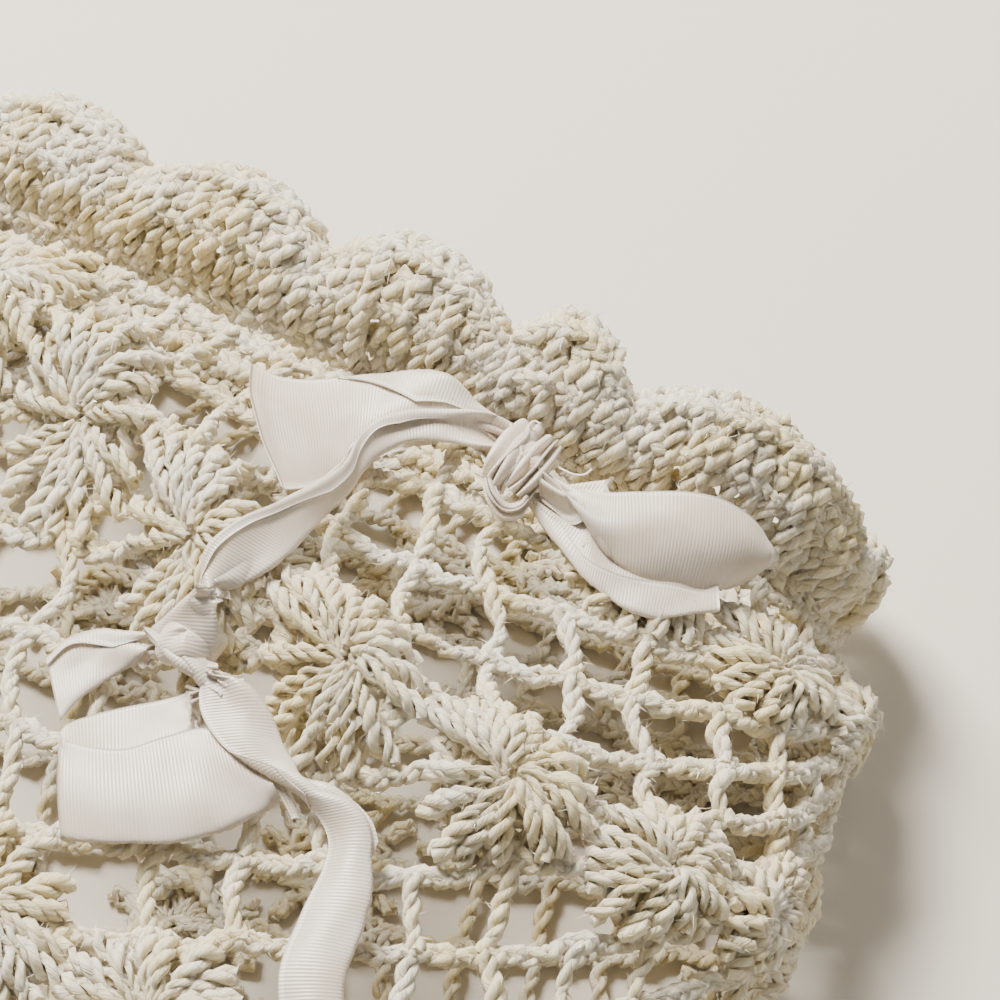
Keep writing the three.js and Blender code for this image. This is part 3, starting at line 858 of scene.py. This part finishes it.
RIBBON_WIDTH = 15.0
RIBBON_THICK = 0.2
LAYER_GAP = 0.42  # from one folded layer of ribbon to the next
LAYER_TURN = 0.3  # how far across the ribbon a fold takes to change layers
PLEAT_LIMIT = 1.3  # the most that a pleat rises
RIBBON_STEP = 0.5  # from one section of ribbon to the next
SECTION_POINTS = 37
RIB_PITCH = 0.4  # from one crosswise rib to the next
EVENED = 50  # times that the depths of an edge are evened


def ribbon_section(width, rim, pleated, pleats, phase, loose):
    """Across and up along a section of ribbon: its face, the rim turned over, the rest under."""
    rest = max(RIBBON_WIDTH - width, 0.0)
    rim = min(rim * rest, 0.45 * width)
    under = rest - rim if loose else min(rest - rim, 2.8 * width)
    total = under + width + rim
    d = np.linspace(0, total, SECTION_POINTS)
    back = under - d
    across = np.where(d > under, width - (d - under), 0.0)
    tri = np.abs((back / width) % 2)
    folded = width * (1 - np.where(tri > 1, 2 - tri, tri))
    across = np.where(back >= 0, width - back if loose else folded, across)
    over = d - under - width
    across = np.where(over > 0, over, across)
    up = np.zeros(SECTION_POINTS)
    if rim > 0.05:
        up = LAYER_GAP * (0.5 + 0.5 * np.tanh(over / LAYER_TURN))
    for layer in range(3):
        if under > layer * width and not (loose and layer):
            up = up - LAYER_GAP * (0.5 + 0.5 * np.tanh((back - layer * width) / LAYER_TURN))
    share = np.linspace(1, 0, SECTION_POINTS)
    excess = max(RIBBON_WIDTH / width, 1.0) ** 2 - 1
    height = min(width / (2 * math.pi * pleats) * math.sqrt(2 * excess), PLEAT_LIMIT)
    pleat_up = height * np.sin(2 * math.pi * pleats * share + phase) * np.sin(math.pi * share) ** 0.3
    across = across * (1 - pleated) + width * share * pleated
    up = up * (1 - pleated) + pleat_up * pleated
    for line in (across, up):
        line[1:-1] = (line[:-2] + 2 * line[1:-1] + line[2:]) / 4
    return across, up


def ribbon_grid(rows, pleats=3, loose=False, end_bow=0.0, arch=0.0):
    """A grid of points of one run of ribbon, from a table of its two edges as the picture has them.

    A row is: x, y and height over the bonnet of the first edge, the same of the second edge, the
    rim's share of the hidden width, and how pleated the ribbon is. The face rises by arch along
    its middle, and end_bow is how far the cut end bows out.
    """
    rows = np.array([row + [0] * (8 - len(row)) for row in rows], float)
    middle = (rows[:, 0:2] + rows[:, 3:5]) / 2
    reach = np.concatenate([[0], np.cumsum(np.linalg.norm(np.diff(middle, axis=0), axis=1) + 3)])
    table = np.column_stack([reach / reach[-1], rows])
    steps = max(int(reach[-1] * PIXEL / RIBBON_STEP), 8)
    edges = along(table, np.linspace(0, 1, steps + 1))
    first = from_picture(edges[:, 1], edges[:, 2], edges[:, 3], EVENED)
    second = from_picture(edges[:, 4], edges[:, 5], edges[:, 6], EVENED)
    way = unit(np.gradient((first + second) / 2, axis=0))
    side = unit(second - first)
    up = unit(np.cross(side, way))
    # The face looks to the camera
    up = up * np.where(up @ FORWARD > 0, -1.0, 1.0)[:, None]
    width = np.linalg.norm(second - first, axis=1)
    grid_rows = []
    for i in range(steps + 1):
        rim, pleated = np.clip(edges[i, 7:9], 0, 1)
        across, lift = ribbon_section(width[i], rim, pleated, pleats, 0.6 + 0.05 * i, loose)
        hump = np.sin(math.pi * np.clip(across / width[i], 0, 1))
        bow = end_bow * hump * smoothstep(i / steps, 0.75, 1.0)
        lift = lift + arch * hump
        points = first[i] + across[:, None] * side[i] + lift[:, None] * up[i] + bow[:, None] * way[i]
        grid_rows.append(points)
    return np.array(grid_rows)


def wrinkled(points, size, seed):
    """Soft uneven hollows, longer along the ribbon than across it."""
    local = np.random.default_rng(seed)
    rows, columns = points.shape[:2]
    a, b = np.meshgrid(np.arange(rows) * RIBBON_STEP, np.arange(columns) * 0.4, indexing="ij")
    lift = np.zeros((rows, columns))
    for _ in range(7):
        fx, fy = local.uniform(-0.7, 0.7), local.uniform(-1.3, 1.3)
        lift += np.sin(fx * a + fy * b + local.uniform(0, 6.28)) / 3.2
    normal = unit(np.cross(np.gradient(points, axis=0), np.gradient(points, axis=1)))
    return points + size * lift[..., None] * normal


def closed_sheet(points):
    """Vertices, faces and the place across and along of a thin closed sheet round a grid."""
    rows, columns = points.shape[:2]
    normal = unit(np.cross(np.gradient(points, axis=1), np.gradient(points, axis=0)))
    out = normal * RIBBON_THICK / 2
    both = np.concatenate([(points + out).reshape(-1, 3), (points - out).reshape(-1, 3)])
    under = rows * columns
    ids = np.arange(under).reshape(rows, columns)
    a, b, c, d = (part.ravel() for part in (ids[:-1, :-1], ids[:-1, 1:], ids[1:, 1:], ids[1:, :-1]))
    faces = [np.stack([a, b, c, d], 1), np.stack([d, c, b, a], 1) + under]
    for line in (ids[0, ::-1], ids[-1], ids[:, 0], ids[::-1, -1]):
        here, ahead = line[:-1], line[1:]
        faces.append(np.stack([here, ahead, ahead + under, here + under], 1)[:, ::-1])
    reach = reach_along(points.mean(axis=1))
    across, onward = np.meshgrid(np.linspace(0, 1, columns), reach / RIBBON_WIDTH)
    place = np.stack([across.ravel(), onward.ravel()], 1)
    return both, np.concatenate(faces), np.concatenate([place, place])


def sheet_piece(name, grids, material):
    """One object of one or more thin sheets, with a UV map that follows the ribbon."""
    points, faces, places, start = [], [], [], 0
    for part in grids:
        p, f, uv = closed_sheet(part)
        points.append(p)
        faces.append(f + start)
        places.append(uv)
        start += len(p)
    points, faces, places = np.concatenate(points), np.concatenate(faces), np.concatenate(places)
    mesh = bpy.data.meshes.new(name)
    mesh.from_pydata(((points - ORIGIN) * MM).tolist(), [], faces.tolist())
    chart = mesh.uv_layers.new(name="UVMap")
    chart.data.foreach_set("uv", places[faces.ravel()].astype(np.float32).ravel())
    mesh.shade_smooth()
    mesh.materials.append(material)
    piece = put(name, mesh)
    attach(piece, "root")
    return piece


def make_satin_material():
    """White polyester satin ribbon: fine crosswise ribs, a soft gloss, corded selvedges."""
    material, node = new_material("white_satin_ribbon")
    chart = node("ShaderNodeUVMap", uv_map="UVMap")
    place = node("ShaderNodeSeparateXYZ", {0: chart}).outputs
    turns = 2 * math.pi * RIBBON_WIDTH / RIB_PITCH
    phase = node("ShaderNodeMath", {0: place[1], 1: turns}, operation="MULTIPLY")
    ribs = node("ShaderNodeMath", {0: phase}, operation="SINE")
    from_middle = node("ShaderNodeMath", {0: place[0], 1: 0.5}, operation="SUBTRACT")
    away = node("ShaderNodeMath", {0: from_middle}, operation="ABSOLUTE")
    inputs = {"Value": away, "From Min": 0.455, "From Max": 0.47}
    selvedge = node("ShaderNodeMapRange", inputs, interpolation_type="SMOOTHSTEP")
    # The white satin's colours, the selvedges' too, are painted darker and warmer all over: painted
    # shade.
    body = drifting_colour(node, 7.0, 0.35, 0.65, "#D8CCBC", "#CABBA8")
    relief = node("ShaderNodeMath", {0: ribs, 1: 0.5, 2: selvedge}, operation="MULTIPLY_ADD")
    inputs = {
        "Base Color": mixed(node, selvedge, body, colour("#E2D7C8")),
        "Normal": node("ShaderNodeBump", {"Height": relief, "Strength": 0.3, "Distance": 0.0001}),
        "Roughness": 0.36,
        "Anisotropic": 0.35,
        "Sheen Weight": 0.15,
        "Subsurface Weight": 0.35,
        "Subsurface Radius": (1.0, 0.9, 0.8),
        "Subsurface Scale": 0.0015,
    }
    end_material(node, inputs)
    return material


# Edges of the ribbon's runs, in pixels of the picture. A row is x, y, height over the bonnet in
# millimetres, the same of the other edge, the rim and how pleated it is, which are 0 where left out.
BOW_LOOP = [
    [536, 470, 2.4, 541, 500, 2, 0, 1],
    [560, 482, 3, 561, 517, 2, 0, 0.85],
    [585, 490, 3.8, 581, 536, 1.8, 0, 0.5],
    [607, 494, 4.8, 604, 561, 1.6, 0, 0.2],
    [636, 492, 5.8, 635, 578, 1.4, 0, 0.05],
    [681, 492, 6.4, 668, 586, 1.2],
    [718, 498, 6.2, 703, 591, 1.2],
    [745, 512, 5.4, 728, 591, 1.4],
    [762, 528, 4.2, 748, 582, 1.6],
    [768, 541, 2.9, 760, 569, 1.6],
    [755, 536, 1.6, 742, 575, 1.2],
    [725, 520, 1.1, 708, 580, 1],
    [680, 512, 1.1, 665, 575, 1],
    [630, 508, 1.1, 618, 562, 1, 0, 0.1],
    [585, 500, 1.3, 578, 530, 1.2, 0, 0.5],
    [550, 488, 1.6, 546, 505, 1.4, 0, 0.9],
]
BOW_TAIL = [
    [530, 497, 1.5, 522, 508, 1.4, 0, 0.8],
    [551, 513, 1.7, 539, 531, 1, 0, 0.4],
    [571, 540, 1.8, 562, 554, 0.9, 0, 0.1],
    [589, 560, 1.8, 584, 581, 0.8],
    [611, 571, 1.8, 605, 598, 0.8],
    [635, 578, 1.8, 630, 611, 0.8],
    [667, 584, 1.8, 659, 619, 1.3],
    [700, 590, 1.9, 695, 614, 1.8],
    [718, 585, 2.1, 720, 612, 2],
]
BOW_END = [
    [514, 427, 2, 505, 455, 1, 0, 1],
    [494, 411, 2.8, 482, 447, 0.9, 0.3, 0.8],
    [476, 394, 3.6, 455, 447, 0.8, 0.8, 0.3],
    [453, 374, 3.8, 428, 447, 0.8, 1, 0.1],
    [424, 369, 3.6, 400, 450, 0.8, 1],
    [368, 374, 3.2, 360, 466, 0.8, 1],
    [322, 380, 2.8, 330, 479, 0.9, 1],
    [290, 379, 2.4, 305, 488, 1, 1],
    [268, 374, 2.2, 290, 490, 1.1, 1],
    [250, 365, 2.4, 283, 489, 1.2, 1],
]
TIE_STRAND = [
    [513, 424, 3.2, 488, 470, 2, 0.1, 1],
    [494, 412, 4.2, 472, 464, 2, 0.2, 0.7],
    [454, 406, 5.2, 450, 453, 2.2, 0.25, 0.4],
    [411, 407, 5.4, 410, 449, 2.4, 0.25, 0.3],
    [377, 416, 5.2, 378, 463, 2, 0.2, 0.2],
    [357, 435, 4.6, 361, 478, 1.4, 0.2, 0.1],
    [343, 460, 4, 352, 493, 1.2, 0.2],
    [311, 484, 4, 335, 512, 1, 0.2],
    [271, 505, 3.8, 315, 530, 0.9, 0.2],
    [236, 518, 3.6, 293, 553, 0.8, 0.2],
    [208, 541, 3.4, 268, 574, 0.8, 0.2, 0.1],
    [198, 568, 3.4, 238, 596, 1, 0.15, 0.4],
    [203, 588, 3.6, 219, 603, 1.6, 0, 1],
]
TIE_LEFT = [
    [156, 634, 2.6, 160, 660, 1.4, 0, 0.9],
    [142, 630, 2.4, 144, 668, 1.2, 0.2, 0.5],
    [125, 628, 2.2, 125, 674, 1, 0.3, 0.2],
    [98, 628, 1.8, 96, 688, 0.9, 0.3],
    [70, 638, 1.5, 76, 704, 0.9, 0.2],
    [46, 658, 1.2, 60, 722, 0.9, 0.2],
]
TIE_LOWER = [
    [200, 684, 1.4, 196, 700, 1.2, 0, 0.9],
    [186, 694, 0.9, 196, 760, 0.8, 0, 0.4],
    [165, 699, 0.9, 172, 795, 0.8],
    [125, 708, 0.9, 128, 812, 0.8],
    [90, 716, 1, 92, 822, 0.9],
    [66, 725, 1.6, 68, 830, 1.4],
    [61, 736, 2.6, 62, 838, 2.2],
    [82, 746, 3, 85, 843, 2.4],
    [125, 749, 2.8, 132, 845, 2],
    [163, 738, 2.6, 178, 844, 1.8],
    [202, 729, 2.4, 222, 833, 1.6],
    [222, 741, 2.2, 250, 820, 1.5],
    [245, 760, 2, 270, 812, 1.5],
    [268, 780, 1.8, 282, 799, 1.5, 0, 0.2],
]
TIE_TAIL = [
    [204, 676, 2.6, 222, 672, 2.6, 0, 0.9],
    [200, 692, 3, 256, 680, 1.8, 0, 0.4],
    [201, 712, 3.4, 271, 708, 1.5, 0, 0.1],
    [210, 730, 3.6, 281, 733, 1.4],
    [225, 748, 3.6, 290, 752, 1.4],
    [245, 764, 3.4, 297, 764, 1.8, 0.1],
    [270, 779, 3, 305, 774, 2.6, 0.2, 0.2],
    [292, 792, 2, 327, 785, 3.4, 0.2, 0.2],
    [311, 807, 1.4, 350, 801, 3.4],
    [325, 826, 1.1, 367, 820, 3],
    [330, 845, 1, 374, 841, 2.8],
    [324, 868, 1, 374, 868, 2.6],
    [311, 894, 1, 373, 897, 2.4],
    [298, 920, 1, 365, 927, 2.2],
    [287, 944, 1, 355, 953, 2],
    [280, 970, 1, 348, 974, 2],
    [279, 1000, 1, 345, 1000, 1.8],
    [284, 1036, 1, 344, 1034, 1.6],
]
TAIL_POINT = [
    [274, 784, 1.6, 287, 786, 1.8, 0, 0.5],
    [284, 802, 1.2, 294, 802, 1.4, 0, 0.5],
    [293, 819, 1, 299, 818, 1.2, 0, 0.5],
]

# Bands of the two knots
BOW_BANDS = [
    [
        [519, 421, 2, 548, 430, 1.6, 0, 0.5],
        [505, 431, 4.4, 540, 446, 4.4, 0, 0.5],
        [493, 447, 5.4, 524, 464, 5.6, 0, 0.6],
        [485, 464, 4.2, 510, 482, 4.4, 0, 0.8],
        [484, 480, 1.6, 503, 494, 1.8, 0, 1],
    ],
    [
        [546, 436, 2.4, 563, 455, 2, 0, 0.7],
        [533, 447, 5, 556, 470, 4, 0, 0.8],
        [518, 466, 5.4, 545, 487, 4.2, 0, 0.8],
        [505, 486, 2.6, 527, 502, 2.4, 0, 1],
    ],
    [
        [484, 478, 2.8, 493, 480, 3.2, 0, 0.8],
        [487, 500, 2.2, 499, 492, 3.2, 0, 0.8],
        [501, 519, 1.6, 509, 501, 3, 0, 0.6],
        [519, 518, 1.6, 518, 499, 3.2, 0, 0.6],
        [529, 505, 2.4, 524, 492, 3.4, 0, 0.8],
    ],
]
TIE_BANDS = [
    [
        [202, 584, 4, 209, 588, 4, 0, 1],
        [190, 594, 4.4, 218, 593, 4.2, 0, 0.6],
        [177, 605, 4.2, 223, 604, 3.6, 0, 0.3],
        [163, 618, 3.6, 225, 622, 2.8, 0, 0.15],
        [150, 631, 3, 223, 644, 2.2, 0, 0.1],
        [158, 646, 1.6, 217, 662, 1.4, 0, 0.2],
    ],
    [
        [176, 652, 2.6, 190, 646, 3.2, 0, 0.7],
        [190, 672, 3.2, 208, 660, 3.8, 0, 0.5],
        [204, 690, 2.6, 224, 672, 3.4, 0, 0.5],
        [218, 690, 2, 234, 683, 2.4, 0, 0.9],
    ],
    [
        [150, 632, 2.6, 158, 628, 3, 0, 0.8],
        [168, 660, 3.6, 184, 648, 4.4, 0, 0.4],
        [196, 678, 3.2, 206, 660, 4.2, 0, 0.5],
        [214, 676, 1.8, 218, 664, 2.4, 0, 0.9],
    ],
]

# Threads at the bow's knot. A row is share of the length, x, y and height over.
LOOSE_THREADS = [
    [
        [0, 535, 444, 3.0],
        [0.3, 534, 434, 3.6],
        [0.6, 530, 427, 4.2],
        [0.8, 534, 421, 4.6],
        [1, 540, 424, 4.4],
    ],
    [
        [0, 553, 464, 3.0],
        [0.3, 563, 470, 3.6],
        [0.6, 575, 475, 4.0],
        [0.85, 586, 474, 4.2],
        [1, 592, 469, 4.6],
    ],
]
THREAD_THICK = 0.2  # as a share of the yarn


def lump(x, y, over, radii, seed):
    """A small creased ball of ribbon under a knot's bands, as a closed grid round its pole axis."""
    middle = from_picture(np.array([x]), np.array([y]), np.array([over]))[0]
    local = np.random.default_rng(seed)
    around = np.linspace(0, 2 * math.pi, 40, endpoint=False)
    a, b = np.meshgrid(np.linspace(0, math.pi, 25), around, indexing="ij")
    swell = 1 + 0.07 * np.sin(3 * b + 2 * a + local.uniform(0, 6)) + 0.05 * np.sin(5 * b - 3 * a)
    ball = np.stack([np.sin(a) * np.cos(b), np.sin(a) * np.sin(b), np.cos(a)], axis=-1)
    return middle + ball * swell[..., None] * np.array(radii)


def add_lump(piece, points):
    """Joins a closed ball, given as rows from pole to pole, to a piece."""
    rows, columns = points.shape[:2]
    ball = bmesh.new()
    ball.from_mesh(piece.data)
    chart = ball.loops.layers.uv.verify()
    place = (points - ORIGIN) * MM
    top, bottom = ball.verts.new(place[0, 0]), ball.verts.new(place[-1, 0])
    rings = [[ball.verts.new(p) for p in ring] for ring in place[1:-1]]
    faces = []
    for k in range(columns):
        n = (k + 1) % columns
        faces.append(ball.faces.new([top, rings[0][k], rings[0][n]]))
        faces.append(ball.faces.new([bottom, rings[-1][n], rings[-1][k]]))
        for ring, onward in zip(rings[:-1], rings[1:]):
            faces.append(ball.faces.new([ring[k], onward[k], onward[n], ring[n]]))
    for face in faces:
        face.smooth = True
        for loop in face.loops:
            loop[chart].uv = (0.5, loop.vert.co.y / (RIBBON_WIDTH * MM))
    ball.to_mesh(piece.data)
    ball.free()


def make_ribbons(satin):
    """The two knots, the seven runs of ribbon between and beyond them, and two loose threads."""
    bands = [wrinkled(ribbon_grid(rows, arch=0.3), 0.08, 20 + i) for i, rows in enumerate(BOW_BANDS)]
    bow_knot = sheet_piece("bow_knot_wraps", bands, satin)
    add_lump(bow_knot, lump(522, 466, 2.6, (3.0, 3.2, 2.4), 2))
    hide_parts("bow_knot")
    bands = [
        wrinkled(ribbon_grid(rows, pleats=2, arch=0.8), 0.08, 30 + i)
        for i, rows in enumerate(TIE_BANDS)
    ]
    tie_knot = sheet_piece("tie_knot_wraps", bands, satin)
    add_lump(tie_knot, lump(190, 640, 1.8, (3.8, 3.4, 2.2), 4))
    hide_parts("tie_knot")

    # A row is the piece, the solid it stands for, its edges, how it is laid and what it is tied to
    for name, node, rows, options, others in (
        ("bow_loop", "bow_loop_right", BOW_LOOP, {"arch": 1.8}, [bow_knot]),
        ("bow_tail", "bow_tail_right", BOW_TAIL, {"loose": True}, []),
        ("bow_end", "bow_end_left", BOW_END, {"end_bow": 2.2, "arch": 0.8}, []),
        ("tie_strand_ribbon", "tie_strand", TIE_STRAND, {"pleats": 2}, []),
        ("tie_loop_left", "tie_loop_upper", TIE_LEFT, {}, [tie_knot]),
        ("tie_loop_low", "tie_loop_lower", TIE_LOWER, {"arch": 0.8}, []),
        ("tie_tail_ribbon", "tie_tail", TIE_TAIL, {"arch": 0.7}, []),
    ):
        points = wrinkled(ribbon_grid(rows, **options), 0.14, len(rows))
        grids = [points]
        if name == "tie_tail_ribbon":
            grids.append(ribbon_grid(TAIL_POINT))
        piece = sheet_piece(name, grids, satin)
        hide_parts(node)
    # Two threads pulled out of the ribbon's cut end stand off the bow's knot
    threads = Strands()
    for line in LOOSE_THREADS:
        spots = along(np.array(line, float), np.linspace(0, 1, 14))
        threads.lay(from_picture(spots[:, 1], spots[:, 2], spots[:, 3], 6), THREAD_THICK)
    values = {"Sides": 5, "Strand radius": YARN * MM, "Yarn": staple}
    frayed = through(tubes_tree, "bow_knot_threads", threads.mesh("thread_lines", 0.02), values)
    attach(frayed, "root")
    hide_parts("bow_knot")


add_camera()
add_stage()
make_crown()
make_ruffle()
make_ribbons(make_satin_material())
